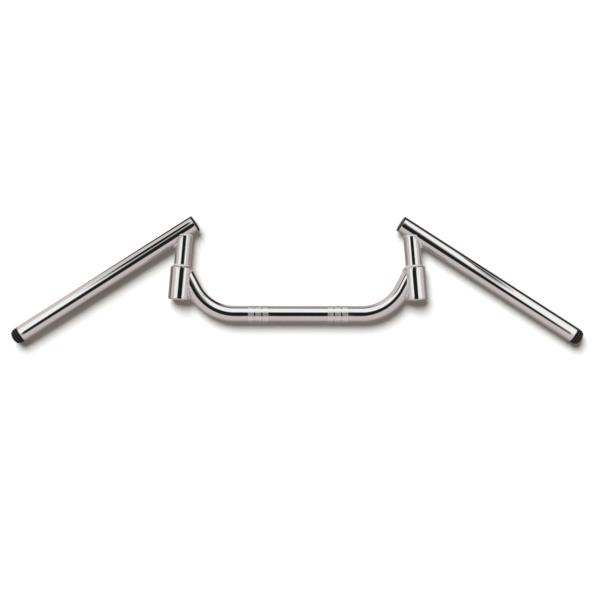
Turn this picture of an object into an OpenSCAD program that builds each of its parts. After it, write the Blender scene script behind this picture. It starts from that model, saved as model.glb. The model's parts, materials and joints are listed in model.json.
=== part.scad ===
// Adjustable M-shaped motorcycle handlebar.
// A U-shaped centre tube is welded at each end to a short thick sleeve. In each sleeve slides and turns a
// stub tube, and across the top of each stub lies a straight grip tube. An expander cone, drawn into the
// slotted foot of the stub by a bolt from below, spreads the stub against the sleeve's bore.
//
// Frame: the origin is the middle of the bar between the two handlebar clamps. +X is the rider's right,
// +Y points forward, +Z up. Every axis lies in the plane z = 0.

/* [Tube] */
// Outside diameter of the centre tube, the stubs and the grip tubes (7/8 inch)
tube_d = 22.2; // [20:0.1:25.4]
// Wall thickness of all three
tube_wall = 2; // [1.5:0.1:2.5]

/* [Centre tube] */
// Length of the straight middle, between the two bends
bar_straight = 171; // [166:1:176]
// Bend radius of the tube's axis
bend_r = 62; // [58:1:64]
// Angle that each bend turns through
bend_angle = 62.5; // [61:0.5:64]
// Distance between the middles of the two knurled groups
clamp_spacing = 106.6; // [90:0.1:120]
// Width of one knurled band; there are three in a group
band_w = 7.8; // [6:0.1:9]
// Smooth gap between the bands of a group
band_gap = 2; // [1:0.1:3]
// How far the knurl stands above the tube
knurl_rise = 0.2; // [0.18:0.01:0.3]

/* [Sleeves] */
// Distance of a sleeve's lower end from the middle of the bar
sleeve_x = 160; // [158:0.5:162]
// How far forward of the bar's axis that end lies
sleeve_y = 19; // [17:0.5:21]
// Inward lean of the sleeve
sleeve_lean = 5; // [4:0.5:6]
// Outside diameter of the sleeve
sleeve_d = 30; // [28:0.5:32]
// Length of the sleeve
sleeve_len = 45; // [42:1:48]
// Chamfer on the sleeve's outer edges
sleeve_chamfer = 1.4; // [0.5:0.1:2]

/* [Stubs and grips] */
// Height of the stub's foot above the sleeve's lower end
stub_foot = 16; // [14:1:18]
// From the sleeve's lower end to where the stub's axis meets the grip's
stub_rise = 94.6; // [88:0.2:100]
// Backward sweep of the grip tube
grip_sweep = 32.6; // [28:0.2:36]
// From that meeting point to the grip tube's inner end
grip_inner = 14.2; // [13:0.2:18]
// From that meeting point to its outer end
grip_outer = 260.8; // [200:1:300]
// Length of the ribbed end cap outside the tube
cap_len = 12.5; // [11:0.5:14]
// Thickness of the inner plug's flange at its middle
plug_len = 3.2; // [2.5:0.1:4]

/* [Clamp hardware] */
// Nominal diameter of the expander bolt
bolt_d = 8; // [8:1:8]
// Length of the bolt under its head
bolt_len = 40; // [38:1:42]
// Length of the expander cone
cone_len = 14; // [13:0.5:15]
// Length of the slots in the stub's foot
slot_len = 22; // [18:1:24]
// Height of the ring on top of the sleeve
ring_h = 2.4; // [2:0.1:4]

/* [Hidden] */

$fn = 96;
LEFT = -1;
RIGHT = 1;
tiny = 0.01;          // overshoot that keeps a cut from ending on a face
run_gap = 0.05;       // radial clearance of a running fit
plug_gap = 0.05;      // radial clearance of a pushed-in plug
tube_r = tube_d / 2;
bore_r = tube_r - tube_wall;
bar_half = bar_straight / 2;
bend_len = bend_r * bend_angle * PI / 180;
sleeve_r = sleeve_d / 2;
sleeve_bore_r = tube_r + run_gap;
bar_tail = 30;        // straight run after the bend, cut back to the sleeve's skin
stub_top = stub_rise - 8.4;   // the coped end's thin ears are trimmed off at this height

// Places along the sleeve's axis, measured from the sleeve's lower end
cone_foot = stub_foot - 4;
head_h = 8;
head_r = 6.5;
washer_h = 1.6;
washer_r = 7.5;
head_top = cone_foot + head_h;
shank_foot = head_top;
threaded_plug_foot = stub_foot + slot_len + 4;
threaded_plug_len = 14;

// Unit vectors and points in the plane of the bar, on the right-hand side
sleeve_base = [sleeve_x, sleeve_y, 0];
sleeve_dir = [-sin(sleeve_lean), cos(sleeve_lean), 0];
grip_dir = [cos(grip_sweep), -sin(grip_sweep), 0];
grip_centre = sleeve_base + stub_rise * sleeve_dir;

// ---- placing ----

// Draws the right-hand piece, or its mirror image for the left
module on_side(side) {
  mirror([side == LEFT ? 1 : 0, 0, 0]) children();
}

// Puts local +Z along the sleeve's axis, with the sleeve's lower end at the origin
module along_sleeve() {
  translate(sleeve_base) rotate([0, 0, sleeve_lean]) rotate([-90, 0, 0]) children();
}

// Puts local +Z along the grip tube, outward, with the stub's axis crossing at the origin
module along_grip() {
  translate(grip_centre) rotate([0, 0, -grip_sweep]) rotate([0, 90, 0]) children();
}

// ---- centre tube ----

// A round rod of radius r that follows the centre tube's axis from sleeve to sleeve. The tail starts a
// little way inside the bend's end and is a hair thinner, so the two meet in a clean step.
module bar_rod(r) {
  lap = 0.5;
  step = 0.02;
  rotate([0, 90, 0]) cylinder(r = r, h = bar_straight, center = true);
  for (side = [LEFT, RIGHT])
    on_side(side) translate([bar_half, bend_r, 0]) {
      rotate([0, 0, -90]) rotate_extrude(angle = bend_angle) translate([bend_r, 0]) circle(r = r);
      rotate([0, 0, bend_angle]) translate([-lap, -bend_r, 0])
        rotate([0, 90, 0]) cylinder(r = r - step, h = lap + bar_tail);
    }
}

// Three knurled bands around x = 0, at the height of their crests
module knurl_group() {
  pitch = band_w + band_gap;
  for (i = [-1 : 1])
    translate([i * pitch - band_w / 2, 0, 0]) rotate([0, 90, 0])
      cylinder(r = tube_r + knurl_rise, h = band_w);
}

module centre_tube() {
  color("gainsboro") difference() {
    union() {
      bar_rod(tube_r);
      for (side = [LEFT, RIGHT]) translate([side * clamp_spacing / 2, 0, 0]) knurl_group();
    }
    bar_rod(bore_r);
    for (side = [LEFT, RIGHT])
      on_side(side) along_sleeve() translate([0, 0, -sleeve_len])
        cylinder(r = sleeve_r, h = 3 * sleeve_len);
  }
}

// ---- sleeves ----

module sleeve(side) {
  c = sleeve_chamfer;
  lip = 0.6;
  color("silver") on_side(side) along_sleeve() rotate_extrude() polygon([
    [sleeve_bore_r, lip], [sleeve_bore_r + lip, 0], [sleeve_r - c, 0], [sleeve_r, c],
    [sleeve_r, sleeve_len - c], [sleeve_r - c, sleeve_len], [sleeve_bore_r, sleeve_len],
  ]);
}

// Tapered lip that closes the gap between the stub and the sleeve's top
module seal_ring(side) {
  foot_r = sleeve_bore_r + 0.75;
  top_r = sleeve_bore_r + 0.4;
  color("lightgray") on_side(side) along_sleeve() translate([0, 0, sleeve_len])
    rotate_extrude() polygon([
      [sleeve_bore_r, 0], [foot_r, 0], [foot_r, 0.5 * ring_h],
      [top_r, ring_h], [sleeve_bore_r, ring_h],
    ]);
}

// ---- stubs and grips ----

module stub(side) {
  slot_w = 1.6;
  taper_len = 10;
  mouth_r = tube_r - 0.5;
  color("silver") on_side(side) difference() {
    along_sleeve() difference() {
      translate([0, 0, stub_foot]) cylinder(r = tube_r, h = stub_top - stub_foot);
      translate([0, 0, stub_foot - tiny]) cylinder(r = bore_r, h = stub_rise);
      translate([0, 0, stub_foot - tiny]) cylinder(r1 = mouth_r, r2 = bore_r, h = taper_len);
      for (turn = [0, 90])
        rotate([0, 0, turn]) translate([-tube_d, -slot_w / 2, stub_foot - 1])
          cube([2 * tube_d, slot_w, slot_len + 1]);
    }
    along_grip() translate([0, 0, -3 * tube_d]) cylinder(r = tube_r, h = 6 * tube_d);
  }
}

module grip_tube(side) {
  edge = 0.5;
  color("gainsboro") on_side(side) along_grip() rotate_extrude() polygon([
    [bore_r, -grip_inner], [tube_r - edge, -grip_inner], [tube_r, edge - grip_inner],
    [tube_r, grip_outer - edge], [tube_r - edge, grip_outer], [bore_r, grip_outer],
  ]);
}

// Flat plug with a slightly domed flange, pushed into the grip tube's inner end
module inner_plug(side) {
  stem_r = bore_r - plug_gap;
  stem_len = 8;
  rim = plug_len - 1.4;
  dome = [for (a = [0 : 15 : 90]) [tube_r * cos(a), rim + (plug_len - rim) * sin(a)]];
  color("dimgray") on_side(side) along_grip() translate([0, 0, -grip_inner])
    rotate([180, 0, 0]) rotate_extrude()
      polygon(concat([[0, -stem_len], [stem_r, -stem_len], [stem_r, 0], [tube_r, 0]], dome));
}

// Radius of the end cap's smooth envelope at height z: straight at first, then a blunt dome
function cap_r(z) =
  let (start = 3, power = 2.5, t = max(0, z - start) / (cap_len - start))
  tube_r * pow(1 - pow(t, power), 1 / power);

// Ribbed cap with a stem, pushed into the grip tube's outer end
module end_cap(side) {
  stem_r = bore_r - plug_gap;
  stem_len = 16;
  rib_pitch = 3;
  first_groove = 2;
  groove_w = 1;
  groove_depth = 1;
  heights = [for (z = [0.5 : 0.5 : cap_len - 0.1]) z];
  skin = [for (z = heights) [cap_r(z) - (in_groove(z, first_groove, rib_pitch, groove_w)
                                         ? groove_depth : 0), z]];
  color("#222222") on_side(side) along_grip() translate([0, 0, grip_outer]) rotate_extrude()
    polygon(concat([[0, -stem_len], [stem_r - 0.8, -stem_len], [stem_r, 0.8 - stem_len],
                    [stem_r, 0], [tube_r, 0]], skin, [[0, cap_len]]));
}

// True where a groove runs round the cap
function in_groove(z, first, pitch, width) =
  z > first - tiny && (z - first) % pitch < width - tiny;

// ---- clamp hardware, inside the sleeve and the stub's foot ----

// Screwed in and brazed above the slots; the bolt pulls on it
module threaded_plug(side) {
  color("darkgray") on_side(side) along_sleeve() translate([0, 0, threaded_plug_foot])
    difference() {
      cylinder(r = bore_r, h = threaded_plug_len);
      translate([0, 0, -1]) cylinder(r = bolt_d / 2 + run_gap, h = threaded_plug_len + 2);
    }
}

// Hollow cone with a counterbore for the bolt's head and washer
module expander_cone(side) {
  foot_r = tube_r - 0.9;
  tip_r = bore_r - 0.4;
  collar = 3;
  clear = 0.3;
  color("darkgray") on_side(side) along_sleeve() translate([0, 0, cone_foot]) difference() {
    union() {
      cylinder(r = foot_r, h = collar);
      translate([0, 0, collar]) cylinder(r1 = foot_r, r2 = tip_r, h = cone_len - collar);
    }
    translate([0, 0, -1]) cylinder(r = washer_r + clear, h = head_h + washer_h + 1);
    cylinder(r = bolt_d / 2 + clear, h = cone_len + 1);
  }
}

module washer(side) {
  color("gainsboro") on_side(side) along_sleeve() translate([0, 0, head_top])
    difference() {
      cylinder(r = washer_r, h = washer_h);
      translate([0, 0, -1]) cylinder(r = bolt_d / 2 + 0.2, h = washer_h + 2);
    }
}

// Socket-head bolt, put in from the sleeve's lower end
module clamp_bolt(side) {
  key_flats = 6;
  key_depth = 4;
  chamfer = 0.8;
  color("gray") on_side(side) along_sleeve() translate([0, 0, cone_foot]) difference() {
    union() {
      cylinder(r1 = head_r - chamfer, r2 = head_r, h = chamfer);
      translate([0, 0, chamfer]) cylinder(r = head_r, h = head_h - chamfer);
      translate([0, 0, head_h]) cylinder(r = bolt_d / 2, h = bolt_len - chamfer);
      translate([0, 0, head_h + bolt_len - chamfer])
        cylinder(r1 = bolt_d / 2, r2 = bolt_d / 2 - chamfer, h = chamfer);
    }
    translate([0, 0, -1]) cylinder(d = key_flats / cos(30), h = key_depth + 1, $fn = 6);
  }
}

// ---- weld beads ----

function unit(v) = v / norm(v);

// Distance of point p from the line through base along dir
function off_line(p, base, dir) = norm(cross(p - base, dir));

// Unit vector from that line out to p
function out_of_line(p, base, dir) =
  let (d = p - base) unit(d - (d * dir) * dir);

// The centre tube's axis, s along it from the start of the bend, and the side it bends towards
function bar_turn(s) = min(bend_angle, s * 180 / (PI * bend_r));
function bar_axis(s) =
  let (a = bar_turn(s), past = max(0, s - bend_len))
  [bar_half + bend_r * sin(a) + past * cos(a), bend_r * (1 - cos(a)) + past * sin(a), 0];
function bar_out(s, t) =
  let (a = bar_turn(s)) cos(t) * [-sin(a), cos(a), 0] + [0, 0, sin(t)];
function bar_skin(s, t) = bar_axis(s) + tube_r * bar_out(s, t);

// Where a line along the centre tube's skin, at angle t round it, reaches the sleeve's skin
function sleeve_reach(t, low, high, steps = 30) =
  let (mid = (low + high) / 2)
  steps == 0 ? mid
  : off_line(bar_skin(mid, t), sleeve_base, sleeve_dir) > sleeve_r
    ? sleeve_reach(t, mid, high, steps - 1)
    : sleeve_reach(t, low, mid, steps - 1);

// The stub's skin at height w up the sleeve's axis and angle t round it
stub_out_0 = [cos(sleeve_lean), sin(sleeve_lean), 0];
function stub_out(t) = cos(t) * stub_out_0 + [0, 0, sin(t)];
function stub_skin(w, t) = sleeve_base + w * sleeve_dir + tube_r * stub_out(t);

// Where a line along the stub's skin reaches the grip tube's skin
function grip_reach(t, low, high, steps = 30) =
  let (mid = (low + high) / 2)
  steps == 0 ? mid
  : off_line(stub_skin(mid, t), grip_centre, grip_dir) > tube_r
    ? grip_reach(t, mid, high, steps - 1)
    : grip_reach(t, low, mid, steps - 1);

// One cross-section of a bead between point p of one skin and point q of the other, which are one point
// where the two tubes touch. n1 and n2 are the skins' outward normals there, the seam runs along t, and
// face is the bead's width. It is narrower over a gap. The last point lies buried under the seam.
function bead_section(p, q, n1, n2, t, face) =
  let (
    sink = 0.1,
    narrow = 1 - 0.18 * norm(q - p),
    crown = 0.25 * face * narrow,
    n = 4,
    side_1 = cross(n1, t),
    side_2 = cross(n2, t),
    u1 = unit(side_1 * n2 > 0 ? side_1 : -side_1),
    u2 = unit(side_2 * n1 > 0 ? side_2 : -side_2),
    half_open = acos(max(-1, min(1, u1 * u2))) / 2,
    leg = narrow * min(1.2 * face, face / (2 * sin(half_open))),
    middle = unit(n1 + n2),
    a = p + leg * u1 - sink * n1,
    b = q + leg * u2 - sink * n2,
    c = 0.2 * (p + q) + 0.3 * (a + b) + crown * middle
  )
  [for (k = [0 : n]) let (f = k / n) (1 - f) * (1 - f) * a + 2 * f * (1 - f) * c + f * f * b,
   q - 6 * sink * middle];

// Closed bead through a list of sections
module bead(sections) {
  rings = len(sections);
  size = len(sections[0]);
  function at(i, k) = (i % rings) * size + k % size;
  polyhedron(
    points = [for (s = sections) each s],
    faces = [for (i = [0 : rings - 1], k = [0 : size - 1])
      each [[at(i, k), at(i, k + 1), at(i + 1, k + 1)], [at(i, k), at(i + 1, k + 1), at(i + 1, k)]]]
  );
}

weld_rings = 48;
weld_step = 360 / weld_rings;
weld_face = 3.6;

// Round the joint of the centre tube and the sleeve. It thins out near the sleeve's lower edge.
function sleeve_seam(t) = bar_skin(sleeve_reach(t, 0.5 * bend_len, bend_len + bar_tail), t);
module sleeve_weld(side) {
  fade_len = 8;
  color("gainsboro") on_side(side) bead([
    for (i = [0 : weld_rings - 1])
      let (
        t = i * weld_step,
        p = sleeve_seam(t),
        s = sleeve_reach(t, 0.5 * bend_len, bend_len + bar_tail),
        along = unit(sleeve_seam(t + 1) - sleeve_seam(t - 1)),
        height = (p - sleeve_base) * sleeve_dir,
        face = weld_face * max(0.25, min(1, height / fade_len))
      )
      bead_section(p, p, bar_out(s, t), out_of_line(p, sleeve_base, sleeve_dir), along, face)
  ]);
}

// Round the joint of the stub and the grip tube. It bridges the gap where the stub's ears are trimmed.
function stub_seam(t) = stub_skin(min(stub_top, grip_reach(t, stub_foot, stub_rise)), t);
module stub_weld(side) {
  color("gainsboro") on_side(side) bead([
    for (i = [0 : weld_rings - 1])
      let (
        t = (i + 0.5) * weld_step,
        p = stub_seam(t),
        n2 = out_of_line(p, grip_centre, grip_dir),
        gap = off_line(p, grip_centre, grip_dir) - tube_r,
        along = unit(stub_seam(t + 4) - stub_seam(t - 4))
      )
      bead_section(p, p - gap * n2, stub_out(t), n2, along, weld_face)
  ]);
}

// ---- nodes ----

centre_tube();
sleeve(LEFT);  // left_sleeve
sleeve(RIGHT);  // right_sleeve
sleeve_weld(LEFT);  // left_sleeve_weld
sleeve_weld(RIGHT);  // right_sleeve_weld
seal_ring(LEFT);  // left_seal_ring
seal_ring(RIGHT);  // right_seal_ring
stub(LEFT);  // left_stub
stub(RIGHT);  // right_stub
stub_weld(LEFT);  // left_stub_weld
stub_weld(RIGHT);  // right_stub_weld
grip_tube(LEFT);  // left_grip_tube
grip_tube(RIGHT);  // right_grip_tube
inner_plug(LEFT);  // left_inner_plug
inner_plug(RIGHT);  // right_inner_plug
end_cap(LEFT);  // left_end_cap
end_cap(RIGHT);  // right_end_cap
threaded_plug(LEFT);  // left_threaded_plug
threaded_plug(RIGHT);  // right_threaded_plug
expander_cone(LEFT);  // left_expander_cone
expander_cone(RIGHT);  // right_expander_cone
washer(LEFT);  // left_washer
washer(RIGHT);  // right_washer
clamp_bolt(LEFT);  // left_clamp_bolt
clamp_bolt(RIGHT);  // right_clamp_bolt
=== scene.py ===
"""Looks of the adjustable motorcycle handlebar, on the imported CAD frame. Metres, +Z up.

Every shape is worked out in millimetres and turned into metres when its mesh is made.
"""

import json
import math

import bmesh
import bpy
import numpy as np
from mathutils import Euler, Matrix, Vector


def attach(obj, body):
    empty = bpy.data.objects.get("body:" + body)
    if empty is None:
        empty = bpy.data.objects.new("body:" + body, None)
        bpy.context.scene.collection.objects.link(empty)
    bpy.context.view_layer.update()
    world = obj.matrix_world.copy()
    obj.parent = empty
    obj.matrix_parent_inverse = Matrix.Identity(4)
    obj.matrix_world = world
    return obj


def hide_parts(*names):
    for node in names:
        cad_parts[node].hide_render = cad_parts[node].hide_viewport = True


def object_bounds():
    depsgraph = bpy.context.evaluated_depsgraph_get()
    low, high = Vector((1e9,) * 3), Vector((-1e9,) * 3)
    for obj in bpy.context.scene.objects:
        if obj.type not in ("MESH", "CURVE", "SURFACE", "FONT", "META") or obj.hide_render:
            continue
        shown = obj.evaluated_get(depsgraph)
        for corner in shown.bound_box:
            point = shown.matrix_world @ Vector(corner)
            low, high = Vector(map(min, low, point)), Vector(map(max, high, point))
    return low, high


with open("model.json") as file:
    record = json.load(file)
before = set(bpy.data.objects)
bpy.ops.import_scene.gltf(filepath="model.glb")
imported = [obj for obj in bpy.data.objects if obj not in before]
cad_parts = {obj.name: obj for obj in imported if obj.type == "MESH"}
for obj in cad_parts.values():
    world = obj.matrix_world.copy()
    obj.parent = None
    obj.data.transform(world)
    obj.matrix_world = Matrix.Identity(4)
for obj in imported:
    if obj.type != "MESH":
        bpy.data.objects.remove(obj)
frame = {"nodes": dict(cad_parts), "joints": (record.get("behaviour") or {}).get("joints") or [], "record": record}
cad_box = [list(map(float, corner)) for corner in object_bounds()]

record = frame["record"]
joints = {j["name"]: j for j in frame["joints"]}
mounts = {m["name"]: m for m in record["mounts"]}
scene = bpy.context.scene
scene.view_settings.view_transform = "Standard"

MM = 0.001
SIDES = ("left", "right")


# ---------------------------------------------------------------- where things are

def unit(v):
    v = np.asarray(v, float)
    return v / np.linalg.norm(v, axis=-1, keepdims=True)


class Axis:
    """A line in the plane of the bar. Points go by station along it and angle round it from `out`."""

    def __init__(self, point, direction):
        self.point = np.array(point, float)
        self.dir = unit(direction)
        self.up = np.array([0.0, 0.0, 1.0])
        self.out = np.cross(self.dir, self.up)

    def at(self, station, angle, radius):
        station, angle, radius = np.broadcast_arrays(station, angle, radius)
        around = np.cos(angle)[..., None] * self.out + np.sin(angle)[..., None] * self.up
        return self.point + station[..., None] * self.dir + radius[..., None] * around

    def measure(self, node):
        """Lowest and highest station, and smallest and largest radius, of a CAD node's points."""
        mesh = frame["nodes"][node].data
        co = np.array([v.co for v in mesh.vertices], float) / MM - self.point
        along = co @ self.dir
        off = np.linalg.norm(co - along[:, None] * self.dir, axis=1)
        return along.min(), along.max(), off.min(), off.max()


def sleeve_axis(side):
    return Axis(np.array(joints[side + "_turn"]["pos_m"]) / MM, joints[side + "_height"]["axis"])


def grip_axis(side):
    """The grip tube's axis, with its zero where the stub's axis crosses it."""
    seat = mounts[side + "_grip_seat"]
    p = np.array(seat["pos_m"]) / MM
    d = unit(seat["axis"])
    s = sleeve_axis(side)
    # both lines lie in z = 0: p + t d = s.point + w s.dir
    t, _ = np.linalg.solve(np.array([[d[0], -s.dir[0]], [d[1], -s.dir[1]]]), (s.point - p)[:2])
    return Axis(p + t * d, d)


# Dimensions in millimetres, as in the CAD source
BAR_HALF = 85.5                         # half the centre tube's straight run
BEND_R = 62.0
BEND_ANGLE = math.radians(62.5)
BEND_LEN = BEND_R * BEND_ANGLE
TUBE_R = 11.1
BORE_R = 9.1
KNURL_CENTRE = 53.3                     # middle of each group of three bands
WELD_FACE = 3.6
RIPPLE_PITCH = 2.6
SLEEVE_CHAMFER = 1.4
SLOT_LEN = 22.0                         # slots in the stub's foot
SLOT_W = 1.6
TAPER_LEN = 10.0                        # the stub's foot, opened out for the cone
RIB_PITCH = 3.0                         # ribs of the end caps
RIBS = 4
FIRST_GROOVE = 2.25                     # from the end of the tube
PLUG_GAP = 0.05                         # plugs' stems in the tube's bore

# The knurled bands, fitted to the photograph: CAD has them 7.8 wide, 9.8 apart
BAND_W = 7.4
BAND_PITCH = 9.7
KNURL_TEETH = 96
KNURL_CREST_R = 11.3
KNURL_ROOT_R = 11.16
KNURL_BEVEL = 0.2

# Where searches for a seam along the centre tube start and stop
SEAM_FROM = 0.5 * BEND_LEN
SEAM_TO = BEND_LEN + 30.0


# ---------------------------------------------------------------- mesh building

def new_piece(name, verts, faces, body, material, nodes=(), smooth=40):
    """A mesh piece from points in millimetres. Edges sharper than `smooth` degrees stay crisp."""
    mesh = bpy.data.meshes.new(name)
    points = [tuple(v) for v in np.asarray(verts, float) * MM]
    mesh.from_pydata(points, [], [tuple(map(int, f)) for f in faces])
    mesh.validate()
    bm = bmesh.new()
    bm.from_mesh(mesh)
    bmesh.ops.remove_doubles(bm, verts=bm.verts, dist=1e-7)
    bmesh.ops.recalc_face_normals(bm, faces=bm.faces)
    bm.to_mesh(mesh)
    bm.free()
    for p in mesh.polygons:
        p.use_smooth = True
    mesh.set_sharp_from_angle(angle=math.radians(smooth))
    obj = bpy.data.objects.new(name, mesh)
    scene.collection.objects.link(obj)
    mesh.materials.append(material)
    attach(obj, body)
    if nodes:
        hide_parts(*nodes)
    return obj


def grid_faces(rows, cols):
    """Quads over rows x cols points, numbered row by row, closed both ways."""
    faces = []
    for i in range(rows):
        j = (i + 1) % rows
        for k in range(cols):
            m = (k + 1) % cols
            faces.append((i * cols + k, i * cols + m, j * cols + m, j * cols + k))
    return faces


def turned(axis, profile, cols, close=True):
    """Points and faces of a profile [(radius, station)...] turned round an axis. A closed profile
    makes a ring. Points at radius 0 become one point."""
    angles = np.linspace(0, 2 * math.pi, cols, endpoint=False)
    verts, rows = [], []
    for r, z in profile:
        if r < 1e-6:
            rows.append([len(verts)] * cols)
            verts.append(axis.at(z, 0.0, 0.0))
            continue
        rows.append(list(range(len(verts), len(verts) + cols)))
        verts.extend(axis.at(float(z), angles, float(r)))
    faces = []
    n = len(profile)
    for i in range(n if close else n - 1):
        a, b = rows[i], rows[(i + 1) % n]
        for k in range(cols):
            q = [a[k], a[(k + 1) % cols], b[(k + 1) % cols], b[k]]
            q = [v for j, v in enumerate(q) if v != q[j - 1]]
            if len(q) > 2:
                faces.append(q)
    return verts, faces


def arc(cx, cz, r, a0, a1, steps):
    """Points of an arc in (radius, station), from angle a0 to a1 in degrees."""
    return [(cx + r * math.cos(math.radians(a)), cz + r * math.sin(math.radians(a)))
            for a in np.linspace(a0, a1, steps + 1)]


# ---------------------------------------------------------------- materials

def material(name, base, metallic=0.0, roughness=0.5, **sockets):
    m = bpy.data.materials.new(name)
    m.use_nodes = True
    bsdf = m.node_tree.nodes["Principled BSDF"]
    bsdf.inputs["Base Color"].default_value = (*base, 1)
    bsdf.inputs["Metallic"].default_value = metallic
    bsdf.inputs["Roughness"].default_value = roughness
    for key, value in sockets.items():
        bsdf.inputs[key.replace("_", " ")].default_value = value
    return m, m.node_tree, bsdf


def noise(tree, scale, detail=4.0, rough=0.55, stretch=(1, 1, 1)):
    """Noise in object space; scale is in features per metre."""
    coord = tree.nodes.new("ShaderNodeTexCoord")
    mapping = tree.nodes.new("ShaderNodeMapping")
    mapping.inputs["Scale"].default_value = stretch
    tex = tree.nodes.new("ShaderNodeTexNoise")
    tex.inputs["Scale"].default_value = scale
    tex.inputs["Detail"].default_value = detail
    tex.inputs["Roughness"].default_value = rough
    tree.links.new(coord.outputs["Object"], mapping.inputs["Vector"])
    tree.links.new(mapping.outputs["Vector"], tex.inputs["Vector"])
    return tex.outputs["Fac"]


def ranged(tree, fac, low, high, from_low=0.3, from_high=0.7):
    r = tree.nodes.new("ShaderNodeMapRange")
    r.inputs["From Min"].default_value = from_low
    r.inputs["From Max"].default_value = from_high
    r.inputs["To Min"].default_value = low
    r.inputs["To Max"].default_value = high
    tree.links.new(fac, r.inputs["Value"])
    return r.outputs["Result"]


def tinted(tree, fac, low, high):
    """Colour between low and high as fac goes from 0.3 to 0.7."""
    ramp = tree.nodes.new("ShaderNodeValToRGB")
    ramp.color_ramp.elements[0].position = 0.3
    ramp.color_ramp.elements[1].position = 0.7
    ramp.color_ramp.elements[0].color = (*low, 1)
    ramp.color_ramp.elements[1].color = (*high, 1)
    tree.links.new(fac, ramp.inputs["Fac"])
    return ramp.outputs["Color"]


def bump(tree, bsdf, layers):
    """Bump layers [(height output, strength, distance in metres)...], each on the one before."""
    last = None
    for height, strength, distance in layers:
        b = tree.nodes.new("ShaderNodeBump")
        b.inputs["Strength"].default_value = strength
        b.inputs["Distance"].default_value = distance
        tree.links.new(height, b.inputs["Height"])
        if last is not None:
            tree.links.new(last, b.inputs["Normal"])
        last = b.outputs["Normal"]
    tree.links.new(last, bsdf.inputs["Normal"])


def chrome(name, base, rough_low, rough_high, waviness):
    """Chrome plate: clear reflections, faint polishing haze and the plate's slight waviness."""
    m, tree, bsdf = material(name, base, metallic=1.0, roughness=rough_low)
    low = tuple(0.97 * c for c in base)
    tree.links.new(tinted(tree, noise(tree, 60.0, 3.0), low, base), bsdf.inputs["Base Color"])
    haze = ranged(tree, noise(tree, 220.0, 5.0), rough_low, rough_high)
    tree.links.new(haze, bsdf.inputs["Roughness"])
    bump(tree, bsdf, [(noise(tree, 45.0, 1.0), waviness, 0.0004),
                      (noise(tree, 2600.0, 2.0), 0.02, 0.00002)])
    return m


CHROME = (0.625, 0.615, 0.615)
tube_chrome = chrome("tube_chrome", CHROME, 0.015, 0.05, 0.10)
sleeve_chrome = chrome("sleeve_chrome", CHROME, 0.02, 0.06, 0.12)
weld_chrome = chrome("weld_chrome", CHROME, 0.05, 0.12, 0.4)


def knurl_material():
    m, tree, bsdf = material("knurl_chrome", CHROME, metallic=1.0, roughness=0.22)
    tree.links.new(tinted(tree, noise(tree, 500.0, 3.0), (0.72, 0.71, 0.71), (0.82, 0.81, 0.81)),
                   bsdf.inputs["Base Color"])
    tree.links.new(ranged(tree, noise(tree, 600.0, 3.0), 0.29, 0.37), bsdf.inputs["Roughness"])
    bump(tree, bsdf, [(noise(tree, 1600.0, 2.0), 0.1, 0.00003)])
    return m


def plastic(name, dark, light, rough_low, rough_high, grain, depth, specular=0.4):
    """Moulded plastic or rubber with a fine grain and slightly uneven colour."""
    m, tree, bsdf = material(name, light, roughness=rough_high, Specular_IOR_Level=specular)
    tree.links.new(tinted(tree, noise(tree, 130.0, 4.0), dark, light), bsdf.inputs["Base Color"])
    rough = ranged(tree, noise(tree, 400.0, 4.0), rough_low, rough_high)
    tree.links.new(rough, bsdf.inputs["Roughness"])
    bump(tree, bsdf, [(noise(tree, grain, 3.0), 0.5, depth)])
    return m


def machined(name, dark, light, rough_low, rough_high, ring_scale, metallic=1.0):
    """Turned steel: fine rings across the part and a little oil staining."""
    m, tree, bsdf = material(name, light, metallic=metallic, roughness=rough_high)
    tree.links.new(tinted(tree, noise(tree, 160.0, 4.0), dark, light), bsdf.inputs["Base Color"])
    rough = ranged(tree, noise(tree, 500.0, 4.0), rough_low, rough_high)
    tree.links.new(rough, bsdf.inputs["Roughness"])
    bump(tree, bsdf, [(noise(tree, ring_scale, 2.0, stretch=(1, 30, 1)), 0.3, 0.00003)])
    return m


knurl_chrome = knurl_material()
ring_plastic = plastic("ring_plastic", (0.40, 0.39, 0.40), (0.50, 0.48, 0.49),
                       0.3, 0.45, 1500.0, 0.00003)
plug_plastic = plastic("plug_plastic", (0.008, 0.008, 0.009), (0.016, 0.016, 0.017),
                       0.35, 0.5, 1400.0, 0.00004)
cap_rubber = plastic("cap_rubber", (0.006, 0.006, 0.006), (0.012, 0.011, 0.011),
                     0.30, 0.44, 1100.0, 0.00003, 0.55)
# Darker, rougher rubber for the end caps' grooves: painted shade in the recesses.
groove_painted_shade_rubber = plastic("groove_painted_shade_rubber", (0.002, 0.002, 0.002), (0.004, 0.004, 0.004),
                        0.7, 0.9, 1100.0, 0.00003, 0.1)
plain_steel = machined("plain_steel", (0.30, 0.28, 0.26), (0.46, 0.45, 0.43), 0.28, 0.45, 260.0)
zinc_steel = machined("zinc_steel", (0.50, 0.50, 0.47), (0.66, 0.66, 0.63), 0.25, 0.4, 300.0)
black_steel = machined("black_steel", (0.015, 0.015, 0.016), (0.04, 0.04, 0.042), 0.3, 0.5, 300.0,
                       metallic=0.0)


# ---------------------------------------------------------------- the centre tube

def bar_axis(side, s):
    """Point and sideways direction of the centre tube's axis, s along it from the start of the bend."""
    sign = -1.0 if side == "left" else 1.0
    s = np.asarray(s, float)
    a = np.clip(s / BEND_R, 0, BEND_ANGLE)
    past = np.maximum(0, s - BEND_LEN)
    before = np.minimum(0, s)
    x = BAR_HALF + BEND_R * np.sin(a) + past * np.cos(a) + before
    y = BEND_R * (1 - np.cos(a)) + past * np.sin(a)
    zero = np.zeros_like(x)
    return np.stack([sign * x, y, zero], -1), np.stack([-sign * np.sin(a), np.cos(a), zero], -1)


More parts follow.
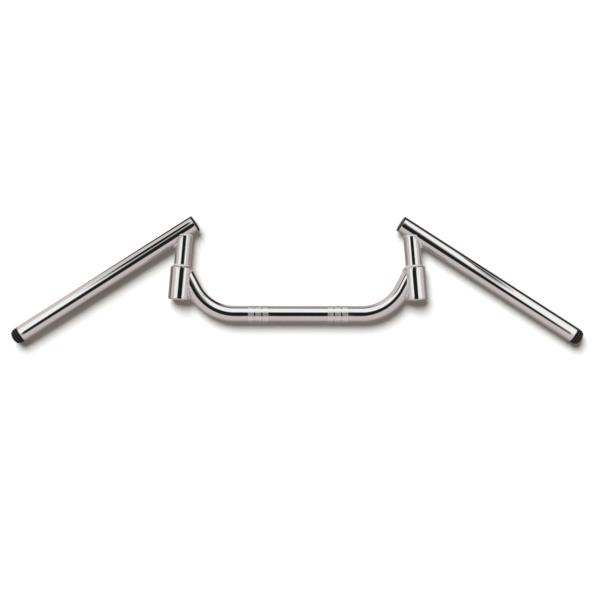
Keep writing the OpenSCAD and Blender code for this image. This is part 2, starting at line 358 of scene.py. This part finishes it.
def bar_skin(side, s, angle, r):
    p, side_dir = bar_axis(side, s)
    up = np.array([0.0, 0.0, 1.0])
    around = np.cos(angle)[..., None] * side_dir + np.sin(angle)[..., None] * up
    return p + np.asarray(r)[..., None] * around


def distance(axis, p):
    d = p - axis.point
    return np.linalg.norm(d - (d @ axis.dir)[..., None] * axis.dir, axis=-1)


def reach(skin, axis, radius, low, high, steps=40):
    """Where lines skin(s), one for each angle, come down to `radius` from an axis. They start
    outside it."""
    low, high = low.copy(), high.copy()
    for _ in range(steps):
        mid = (low + high) / 2
        outside = distance(axis, skin(mid)) > radius
        low, high = np.where(outside, mid, low), np.where(outside, high, mid)
    return (low + high) / 2


def centre_tube():
    """Sweep with both bends, coped to the sleeves, with knurled bands cut as real teeth."""
    root, crest = KNURL_ROOT_R, KNURL_CREST_R
    part = np.array([0.0, 0.1, 0.2, 0.8, 0.9])      # root, flank, flat crest, flank
    height = np.array([root, root, crest, crest, root])
    angle = ((np.arange(KNURL_TEETH)[:, None] + part) / KNURL_TEETH * 2 * math.pi).ravel()
    tooth = np.tile(height, KNURL_TEETH)
    cols = len(angle)

    def ring(side, s, r):
        return bar_skin(side, np.full(cols, float(s)), angle, np.broadcast_to(r, cols))

    sleeve_r = sleeve_axis("right").measure("right_sleeve")[3]
    # rows of points in each end and in half of each bend, on the skin and in the bore
    skin_end, skin_bend, bore_end, bore_bend = 56, 34, 24, 18

    def end_rows(side, r, count):
        """Rows from the middle of the bend to the tube's end, coped to the sleeve."""
        stop = reach(lambda s: bar_skin(side, s, angle, np.full(cols, r)), sleeve_axis(side),
                     sleeve_r, np.full(cols, SEAM_FROM), np.full(cols, SEAM_TO))
        return [bar_skin(side, SEAM_FROM + (stop - SEAM_FROM) * q, angle, np.full(cols, r))
                for q in np.linspace(0, 1, count)]

    # stations outward from the middle, each with its radii
    half = [(-BAR_HALF, TUBE_R), (-BAR_HALF + 15, TUBE_R)]
    for i in (-1, 0, 1):
        c = KNURL_CENTRE + i * BAND_PITCH - BAR_HALF
        a, b = c - BAND_W / 2, c + BAND_W / 2
        half += [(a, TUBE_R), (a + KNURL_BEVEL, tooth), (b - KNURL_BEVEL, tooth), (b, TUBE_R)]
    half += [(-6.0, TUBE_R)]
    half += [(s, TUBE_R) for s in np.linspace(0, SEAM_FROM, skin_bend)[:-1]]

    rows = end_rows("left", TUBE_R, skin_end)[::-1]
    rows += [ring("left", s, r) for s, r in half[:0:-1]]
    rows += [ring("right", s, r) for s, r in half]
    rows += end_rows("right", TUBE_R, skin_end)
    # the bore, back again
    rows += end_rows("right", BORE_R, bore_end)[::-1]
    rows += [ring("right", s, BORE_R) for s in np.linspace(SEAM_FROM, 0, bore_bend)[1:]]
    rows += [ring("left", s, BORE_R) for s in np.linspace(0, SEAM_FROM, bore_bend)[:-1]]
    rows += end_rows("left", BORE_R, bore_end)
    verts = np.concatenate(rows)
    faces = grid_faces(len(rows), cols)
    obj = new_piece("centre_tube_skin", verts, faces, "frame", tube_chrome,
                    ["centre_tube"], smooth=30)
    obj.data.materials.append(knurl_chrome)
    # the knurled faces take the second material
    band_x = [(s * KNURL_CENTRE * MM + i * BAND_PITCH * MM) for s in (-1, 1) for i in (-1, 0, 1)]
    for p in obj.data.polygons:
        c = p.center
        # on the straight run, and on its skin rather than in the bore
        on_outside = abs(c.y) < 0.012 and math.hypot(c.y, c.z) > 0.0105
        if on_outside and any(abs(c.x - x) < BAND_W / 2 * MM for x in band_x):
            p.material_index = 1


centre_tube()


# ---------------------------------------------------------------- welds

def bead(side, body, piece, p, q, n1, n2, width, ripple):
    """A weld bead between points p of one skin and q of another, which are one point where the
    skins meet. n1 and n2 are the skins' normals, and overlapping ripples run across the bead."""
    count = len(p)
    along = unit(np.roll(p, -3, 0) - np.roll(p, 3, 0))
    run = np.concatenate([[0], np.cumsum(np.linalg.norm(np.diff(p, axis=0), axis=1))])
    total = run[-1] + np.linalg.norm(p[0] - p[-1])
    pitch = total / round(total / RIPPLE_PITCH)     # a whole number of ripples

    def sideways(n, m):
        c = np.cross(n, along)
        return unit(np.where((c * m).sum(1)[:, None] > 0, c, -c))

    u1, u2 = sideways(n1, n2), sideways(n2, n1)
    half_open = np.arccos(np.clip((u1 * u2).sum(1), -1, 1)) / 2
    # the bead thins where it bridges a gap, and its edges sink just under both skins
    narrow = 1 - 0.18 * np.linalg.norm(q - p, axis=1)
    leg = (narrow * np.minimum(1.2 * width, width / (2 * np.sin(half_open))))[:, None]
    middle = unit(n1 + n2)
    sink = 0.08
    a = p + leg * u1 - sink * n1
    b = q + leg * u2 - sink * n2
    c = 0.2 * (p + q) + 0.3 * (a + b) + (0.22 * width * narrow)[:, None] * middle
    steps = 14
    rows = []
    for f in np.linspace(0, 1, steps + 1):
        # ripples bow along the seam, and fade out at the bead's two edges
        bow = 0.45 * pitch * (2 * f - 1) ** 2
        wave = np.abs(np.sin(math.pi * (run + bow) / pitch))
        lift = ripple * (1 - (2 * f - 1) ** 4) * (wave - 0.75)
        rows.append((1 - f) ** 2 * a + 2 * f * (1 - f) * c + f * f * b + lift[:, None] * middle)
    rows.append(q - 0.55 * middle)
    verts = np.stack(rows, 1).reshape(-1, 3)    # along the seam, then across it
    new_piece(f"{side}_{piece}_bead", verts, grid_faces(count, steps + 2), body,
              weld_chrome, [f"{side}_{piece}"], smooth=60)


def normal_from(axis, p):
    d = p - axis.point
    return unit(d - (d @ axis.dir)[:, None] * axis.dir)


def welds(side):
    sleeve, grip = sleeve_axis(side), grip_axis(side)
    sleeve_r = sleeve.measure(side + "_sleeve")[3]
    stub_top = sleeve.measure(side + "_stub")[1]
    count = 420
    angle = (np.arange(count) + 0.5) / count * 2 * math.pi
    radius = np.full(count, TUBE_R)

    # the centre tube's end on the sleeve, thinner near the sleeve's lower edge
    s = reach(lambda v: bar_skin(side, v, angle, radius), sleeve, sleeve_r,
              np.full(count, SEAM_FROM), np.full(count, SEAM_TO))
    p = bar_skin(side, s, angle, radius)
    n1 = unit(p - bar_axis(side, s)[0])
    height = (p - sleeve.point) @ sleeve.dir
    bead(side, "frame", "sleeve_weld", p, p, n1, normal_from(sleeve, p),
         WELD_FACE * np.clip(height / 8.0, 0.25, 1.0), 0.85)

    # the stub's coped end under the grip tube, across the gap where its ears are trimmed
    w = reach(lambda v: sleeve.at(v, angle, radius), grip, TUBE_R,
              np.full(count, 16.0), np.full(count, (grip.point - sleeve.point) @ sleeve.dir))
    p = sleeve.at(np.minimum(w, stub_top), angle, radius)
    n2 = normal_from(grip, p)
    q = p - (distance(grip, p) - TUBE_R)[:, None] * n2
    bead(side, side + "_arm", "stub_weld", p, q, normal_from(sleeve, p), n2,
         np.full(count, WELD_FACE), 0.7)


# ---------------------------------------------------------------- tubes, sleeves and ends

def tube_profile(r_in, r_out, z0, z1, edge):
    """A tube's section with its outer edges rounded."""
    return ([(r_in, z0)] + arc(r_out - edge, z0 + edge, edge, -90, 0, 5)
            + arc(r_out - edge, z1 - edge, edge, 0, 90, 5) + [(r_in, z1)])


def sleeve(side):
    axis = sleeve_axis(side)
    z0, z1, r_in, r_out = axis.measure(side + "_sleeve")
    c, soft, lip = SLEEVE_CHAMFER, 0.12, 0.6
    profile = [(r_in, z0 + lip), (r_in + lip, z0), (r_out - c - soft, z0), (r_out - c, z0 + 0.04),
               (r_out - 0.04, z0 + c - 0.04), (r_out, z0 + c + soft)]
    profile += [(r_out, z) for z in np.linspace(z0 + c + soft, z1 - c - soft, 9)[1:-1]]
    profile += [(r_out, z1 - c - soft), (r_out - 0.04, z1 - c + 0.04), (r_out - c, z1 - 0.04),
                (r_out - c - soft, z1), (r_in, z1)]
    verts, faces = turned(axis, profile, 192)
    new_piece(side + "_sleeve_body", verts, faces, "frame", sleeve_chrome,
              [side + "_sleeve"], smooth=25)


def seal_ring(side):
    axis = sleeve_axis(side)
    z0, z1, r_in, r_out = axis.measure(side + "_seal_ring")
    top_r = r_in + 0.4
    half = (z0 + z1) / 2
    profile = [(r_in, z0), (r_out - 0.12, z0), (r_out, z0 + 0.12), (r_out, half - 0.08),
               (r_out - 0.06, half + 0.06), (top_r + 0.06, z1 - 0.2), (top_r - 0.04, z1 - 0.05),
               (top_r - 0.14, z1), (r_in, z1)]
    verts, faces = turned(axis, profile, 160)
    new_piece(side + "_seal_ring_lip", verts, faces, side + "_ring", ring_plastic,
              [side + "_seal_ring"], smooth=35)


def stub(side):
    """The stub with its four slots: a full ring above them, four separate quarters below."""
    axis, grip = sleeve_axis(side), grip_axis(side)
    foot, top = axis.measure(side + "_stub")[:2]
    slot_half, slot_top, taper_top = SLOT_W / 2, foot + SLOT_LEN, foot + TAPER_LEN
    per = 40
    columns = []        # (outer angle, inner angle, starts a slot)
    a_out, a_in = math.asin(slot_half / TUBE_R), math.asin(slot_half / BORE_R)
    for q in range(4):
        base = q * math.pi / 2
        for k in range(per + 1):
            t = k / per
            columns.append((base + a_out + t * (math.pi / 2 - 2 * a_out),
                            base + a_in + t * (math.pi / 2 - 2 * a_in), k == per))
    outer = np.array([c[0] for c in columns])
    inner = np.array([c[1] for c in columns])
    is_slot = [c[2] for c in columns]
    n = len(columns)
    crossing = (grip.point - axis.point) @ axis.dir

    def stop(angle, r):
        """Height of the coped end, with the thin ears trimmed off."""
        cope = reach(lambda w: axis.at(w, angle, r), grip, TUBE_R, np.full(n, slot_top),
                     np.full(n, crossing))
        return np.minimum(cope, top)

    out_top, in_top = stop(outer, TUBE_R), stop(inner, BORE_R)
    mouth = TUBE_R - 0.5
    rows = [axis.at(z, outer, TUBE_R) for z in (foot, taper_top, slot_top)]
    rows += [axis.at(slot_top + (out_top - slot_top) * q, outer, TUBE_R)
             for q in np.linspace(0, 1, 22)[1:]]
    rows += [axis.at(slot_top + (in_top - slot_top) * q, inner, BORE_R)
             for q in np.linspace(1, 0, 14)]
    rows += [axis.at(taper_top, inner, BORE_R), axis.at(foot, inner, mouth)]
    verts = np.concatenate(rows)
    count = len(rows)
    slotted = {0, 1, count - 3, count - 2, count - 1}      # rows whose slot columns stay open
    faces = []
    for i in range(count):
        j = (i + 1) % count
        for k in range(n):
            if i in slotted and is_slot[k]:
                continue
            m = (k + 1) % n
            faces.append((i * n + k, i * n + m, j * n + m, j * n + k))
    out_rows, in_rows = [0, 1, 2], [count - 1, count - 2, count - 3]
    for k in range(n):
        m = (k + 1) % n
        if is_slot[k]:
            for col in (k, m):
                for i in range(2):
                    faces.append((out_rows[i] * n + col, out_rows[i + 1] * n + col,
                                  in_rows[i + 1] * n + col, in_rows[i] * n + col))
            faces.append((2 * n + k, 2 * n + m, (count - 3) * n + m, (count - 3) * n + k))
    new_piece(side + "_stub_tube", verts, faces, side + "_arm", tube_chrome,
              [side + "_stub"], smooth=35)


def grip_tube(side):
    axis = grip_axis(side)
    z0, z1, r_in, r_out = axis.measure(side + "_grip_tube")
    ends = tube_profile(r_in, r_out, z0, z1, 0.5)
    middle = [(r_out, z) for z in np.linspace(z0, z1, 40)[1:-1]]
    profile = ends[:7] + middle + ends[7:]
    verts, faces = turned(axis, profile, 192)
    new_piece(side + "_grip_tube_skin", verts, faces, side + "_arm", tube_chrome,
              [side + "_grip_tube"], smooth=40)


def inner_plug(side):
    """Domed flange with a shallow ring pressed in its face, on a stem inside the tube."""
    axis = grip_axis(side)
    z0, z1, _, r = axis.measure(side + "_inner_plug")
    tube_end = axis.measure(side + "_grip_tube")[0]
    stem_r = BORE_R - PLUG_GAP
    thick = tube_end - z0
    dome, dent_r, dent_depth, dent_w = 1.4, 7.6, 0.22, 0.35
    rim = thick - dome
    profile = [(0, z1), (stem_r - 0.6, z1), (stem_r, z1 - 0.6), (stem_r, tube_end),
               (r - 0.1, tube_end), (r, tube_end - 0.15)]
    for a in np.radians(np.linspace(0, 90, 26)[1:-1]):
        x, h = r * math.cos(a), rim + (thick - rim) * math.sin(a)
        dent = dent_depth * math.exp(-((x - dent_r) / dent_w) ** 2)
        profile.append((x, tube_end - h + dent))
    profile.append((0, z0))
    verts, faces = turned(axis, profile, 128, close=False)
    new_piece(side + "_inner_plug_cap", verts, faces, side + "_arm", plug_plastic,
              [side + "_inner_plug"], smooth=40)


def end_cap(side):
    """Rubber bar-end cap: a straight collar and rounded ribs on a blunt dome."""
    axis = grip_axis(side)
    z0, z1, _, r = axis.measure(side + "_end_cap")
    tube_end = axis.measure(side + "_grip_tube")[1]
    length = z1 - tube_end
    stem_r = BORE_R - PLUG_GAP

    collar, blunt = 3.0, 2.5
    ribs_from = FIRST_GROOVE - RIB_PITCH / 2
    ribs_to = ribs_from + RIBS * RIB_PITCH

    def envelope(z):
        """Radius of the cap without its grooves, z past the tube's end."""
        t = max(0.0, z - collar) / (length - collar)
        return r * (1 - min(t, 1.0) ** blunt) ** (1 / blunt)

    profile = [(0, z0), (stem_r - 0.8, z0), (stem_r, z0 + 0.8), (stem_r, tube_end)]
    profile += [(r - 0.25, tube_end), (r, tube_end + 0.25)]
    for z in np.arange(0.5, length - 0.02, 0.1):
        phase = 2 * math.pi * (z - FIRST_GROOVE) / RIB_PITCH
        deep = 0.5 * (1 + math.cos(phase)) if ribs_from < z < ribs_to else 0.0
        profile.append((max(0.05, envelope(z) - deep), tube_end + z))
    profile.append((0, z1))
    verts, faces = turned(axis, profile, 144, close=False)
    obj = new_piece(side + "_end_cap_rubber", verts, faces, side + "_arm", cap_rubber,
                    [side + "_end_cap"], smooth=50)
    obj.data.materials.append(groove_painted_shade_rubber)
    # the grooves' floors and walls take the second material, darker and less shiny than the ribs: painted shade in
    # the grooves
    for p in obj.data.polygons:
        d = np.array(p.center) / MM - axis.point
        z = d @ axis.dir - tube_end
        if z > 1.0 and distance(axis, np.array(p.center) / MM) < envelope(z) - 0.35:
            p.material_index = 1


for side in SIDES:
    welds(side)
    sleeve(side)
    seal_ring(side)
    stub(side)
    grip_tube(side)
    inner_plug(side)
    end_cap(side)

FINISH = {"threaded_plug": plain_steel, "expander_cone": plain_steel, "washer": zinc_steel,
          "clamp_bolt": black_steel}
for side in SIDES:
    for piece, mat in FINISH.items():
        data = frame["nodes"][f"{side}_{piece}"].data
        data.materials.clear()
        data.materials.append(mat)


# ---------------------------------------------------------------- floor, light and camera

FLOOR_Z = cad_box[0][2]


def floor():
    mesh = bpy.data.meshes.new("floor")
    half = 8.0
    corners = [(-half, -half, 0), (half, -half, 0), (half, half, 0), (-half, half, 0)]
    mesh.from_pydata(corners, [], [(0, 1, 2, 3)])
    obj = bpy.data.objects.new("floor", mesh)
    obj.location = (0, 0, FLOOR_Z - 0.0002)
    scene.collection.objects.link(obj)
    mesh.materials.append(material("floor_paper", (0.86, 0.86, 0.855), roughness=0.9,
                                   Specular_IOR_Level=0.0)[0])
    obj.visible_glossy = False


floor()


def painted_dark_reflection(name, centre, height, half, turn, soft, cover=1.0):
    """A painted dark reflection: a dark ellipse with a soft edge that only reflections see. The
    high ones stand in for the camera, its stand and what's round them; the low one paints the
    reflection of shade on the floor. `half` holds its two half-widths, and soft is the edge's
    width as a share of them."""
    mesh = bpy.data.meshes.new(name)
    r = 1 + soft
    ring = [(r * math.cos(a), r * math.sin(a), 0)
            for a in np.linspace(0, 2 * math.pi, 64, endpoint=False)]
    mesh.from_pydata(ring, [], [tuple(range(64))])
    obj = bpy.data.objects.new(name, mesh)
    obj.location = (*centre, height)
    obj.rotation_euler = (0, 0, math.radians(turn))
    obj.scale = (*half, 1)
    scene.collection.objects.link(obj)
    m = bpy.data.materials.new(name)
    m.use_nodes = True
    tree = m.node_tree
    tree.nodes.clear()
    coord = tree.nodes.new("ShaderNodeTexCoord")
    length = tree.nodes.new("ShaderNodeVectorMath")
    length.operation = "LENGTH"
    tree.links.new(coord.outputs["Object"], length.inputs[0])
    fade = ranged(tree, length.outputs["Value"], 1 - cover, 1.0, 1 - soft, 1 + soft)
    dark = tree.nodes.new("ShaderNodeEmission")
    dark.inputs["Color"].default_value = (0.9, 0.95, 1.0, 1)
    dark.inputs["Strength"].default_value = 0.02
    clear = tree.nodes.new("ShaderNodeBsdfTransparent")
    mix = tree.nodes.new("ShaderNodeMixShader")
    out = tree.nodes.new("ShaderNodeOutputMaterial")
    tree.links.new(fade, mix.inputs["Fac"])
    tree.links.new(dark.outputs["Emission"], mix.inputs[1])
    tree.links.new(clear.outputs["BSDF"], mix.inputs[2])
    tree.links.new(mix.outputs["Shader"], out.inputs["Surface"])
    mesh.materials.append(m)
    for kind in ("camera", "diffuse", "shadow", "transmission", "volume_scatter"):
        setattr(obj, "visible_" + kind, False)


# Painted dark reflections: above the bar in place of the camera and its stand, and on the floor beside the left
# grip for the shade there.
painted_dark_reflection("overhead_camera", (-0.06, -0.12), 1.6, (0.61, 0.83), 0, 0.16)
painted_dark_reflection("overhead_arm_left", (-0.412, 0.40), 0.34, (0.26, 0.125), 125, 0.35)
painted_dark_reflection("overhead_arm_right", (0.19, 0.12), 0.83, (0.54, 0.17), 68, 0.45, 0.9)
painted_dark_reflection("overhead_stick", (3.0, 3.545), 1.0, (3.6, 0.08), 53, 0.25)
painted_dark_reflection("floor_shade_reflection_left", (-0.1784, 0.1437), FLOOR_Z + 0.0005, (0.19, 0.032), 47.7, 0.35)


def studio():
    """World light. Reflections see soft boxes round the camera, by direction: white ahead of the
    bar and to both sides, grey behind it. The floor gets an even dim fill, and the backdrop is
    pale."""
    world = bpy.data.worlds.new("studio")
    scene.world = world
    world.use_nodes = True
    tree = world.node_tree
    tree.nodes.clear()
    new, link = tree.nodes.new, tree.links.new
    coord = new("ShaderNodeTexCoord")
    split = new("ShaderNodeSeparateXYZ")
    link(coord.outputs["Generated"], split.inputs[0])

    def math_node(op, a, b=None):
        n = new("ShaderNodeMath")
        n.operation = op
        for i, v in enumerate((a, b)):
            if v is None:
                continue
            if isinstance(v, (int, float)):
                n.inputs[i].default_value = v
            else:
                link(v, n.inputs[i])
        return n.outputs[0]

    from_top = math_node("DEGREES", math_node("ARCCOSINE", split.outputs["Z"]))
    fac = math_node("DIVIDE", from_top, 180.0)
    x, y = split.outputs["X"], split.outputs["Y"]
    flat = math_node("SQRT", math_node("ADD", math_node("MULTIPLY", x, x),
                                       math_node("MULTIPLY", y, y)))
    ahead = math_node("DIVIDE", y, math_node("MAXIMUM", flat, 0.001))
    right = math_node("DIVIDE", x, math_node("MAXIMUM", flat, 0.001))

    def ramp(stops):
        """Ramp over degrees from straight up: [(degrees, level)...]. What's greyer is also a
        little pinker."""
        r = new("ShaderNodeValToRGB")
        e = r.color_ramp.elements
        for i, (deg, level) in enumerate(stops):
            last = i == len(stops) - 1
            k = e[0] if i == 0 else e[-1] if last else e.new(deg / 180)
            k.position = deg / 180
            warm = min(1.0, max(0.0, (1.35 - level) / 0.5))
            k.color = (*(level * (1 + c * warm) for c in (0.05, -0.05, -0.07)), 1)
        link(fac, r.inputs["Fac"])
        return r.outputs["Color"]

    front_right = ramp([(0, 1.42), (70, 1.42), (84, 0.85), (92, 0.03), (122, 0.02), (138, 0.4),
                        (180, 0.8)])
    front_left = ramp([(0, 1.42), (58, 1.42), (80, 0.90), (125, 0.85), (180, 0.7)])
    front_middle = ramp([(0, 1.42), (74, 1.42), (84, 0.75), (89, 0.10), (97, 0.10), (104, 0.62),
                         (180, 0.8)])
    sides = ramp([(0, 1.38), (50, 1.38), (56, 0.88), (92, 0.80), (105, 0.35), (180, 0.5)])
    back = ramp([(0, 1.0), (26, 1.0), (31, 0.83), (74, 0.82), (95, 0.68), (112, 0.46),
                 (132, 0.32), (180, 0.25)])

    def blend(a, b, fac_out):
        n = new("ShaderNodeMix")
        n.data_type = "RGBA"
        link(fac_out, n.inputs["Factor"])
        link(a, n.inputs["A"])
        link(b, n.inputs["B"])
        return n.outputs["Result"]

    def between(value, low, high):
        n = new("ShaderNodeMapRange")
        n.interpolation_type = "SMOOTHSTEP"
        n.inputs["From Min"].default_value = low
        n.inputs["From Max"].default_value = high
        link(value, n.inputs["Value"])
        return n.outputs["Result"]

    front = blend(front_left, front_middle, between(right, -0.45, -0.1))
    front = blend(front, front_right, between(right, 0.15, 0.4))
    behind = blend(back, sides, between(ahead, -0.45, -0.15))
    seen = blend(behind, front, between(ahead, 0.2, 0.5))
    glossy = new("ShaderNodeBackground")
    link(seen, glossy.inputs["Color"])
    fill = new("ShaderNodeBackground")
    fill.inputs["Color"].default_value = (1.0, 0.87, 0.71, 1)
    fill.inputs["Strength"].default_value = 0.20
    backdrop = new("ShaderNodeBackground")
    backdrop.inputs["Color"].default_value = (0.99, 0.99, 0.99, 1)
    path = new("ShaderNodeLightPath")
    mix_1, mix_2 = new("ShaderNodeMixShader"), new("ShaderNodeMixShader")
    link(path.outputs["Is Glossy Ray"], mix_1.inputs["Fac"])
    link(fill.outputs[0], mix_1.inputs[1])
    link(glossy.outputs[0], mix_1.inputs[2])
    link(path.outputs["Is Camera Ray"], mix_2.inputs["Fac"])
    link(mix_1.outputs[0], mix_2.inputs[1])
    link(backdrop.outputs[0], mix_2.inputs[2])
    out = new("ShaderNodeOutputWorld")
    link(mix_2.outputs[0], out.inputs["Surface"])


studio()

sun = bpy.data.lights.new("key", "SUN")
sun.energy = 4.1
sun.angle = math.radians(34)            # a wide disc, for the photograph's soft shadow
sun.color = (0.99, 1.0, 1.0)
key = bpy.data.objects.new("key", sun)
key.rotation_euler = Vector((-4.5, 9.0, 15.0)).to_track_quat("Z", "Y").to_euler()
key.visible_glossy = False
scene.collection.objects.link(key)

# The camera looks down from 2 m. It stands `swing` to the side of the middle and looks back at it.
view_width, camera_height, swing = 0.8067, 2.0, -0.03
lens = bpy.data.cameras.new("camera")
lens.sensor_width = 36
lens.lens = lens.sensor_width / view_width * camera_height
lens.clip_end = 50
camera = bpy.data.objects.new("camera", lens)
camera.location = (0.0026 + swing, 0.0188, camera_height)
camera.rotation_euler = (Euler((0, 0, math.radians(0.1))).to_matrix()
                         @ Euler((0, math.atan2(swing, camera_height), 0)).to_matrix()).to_euler()
scene.collection.objects.link(camera)
scene.camera = camera
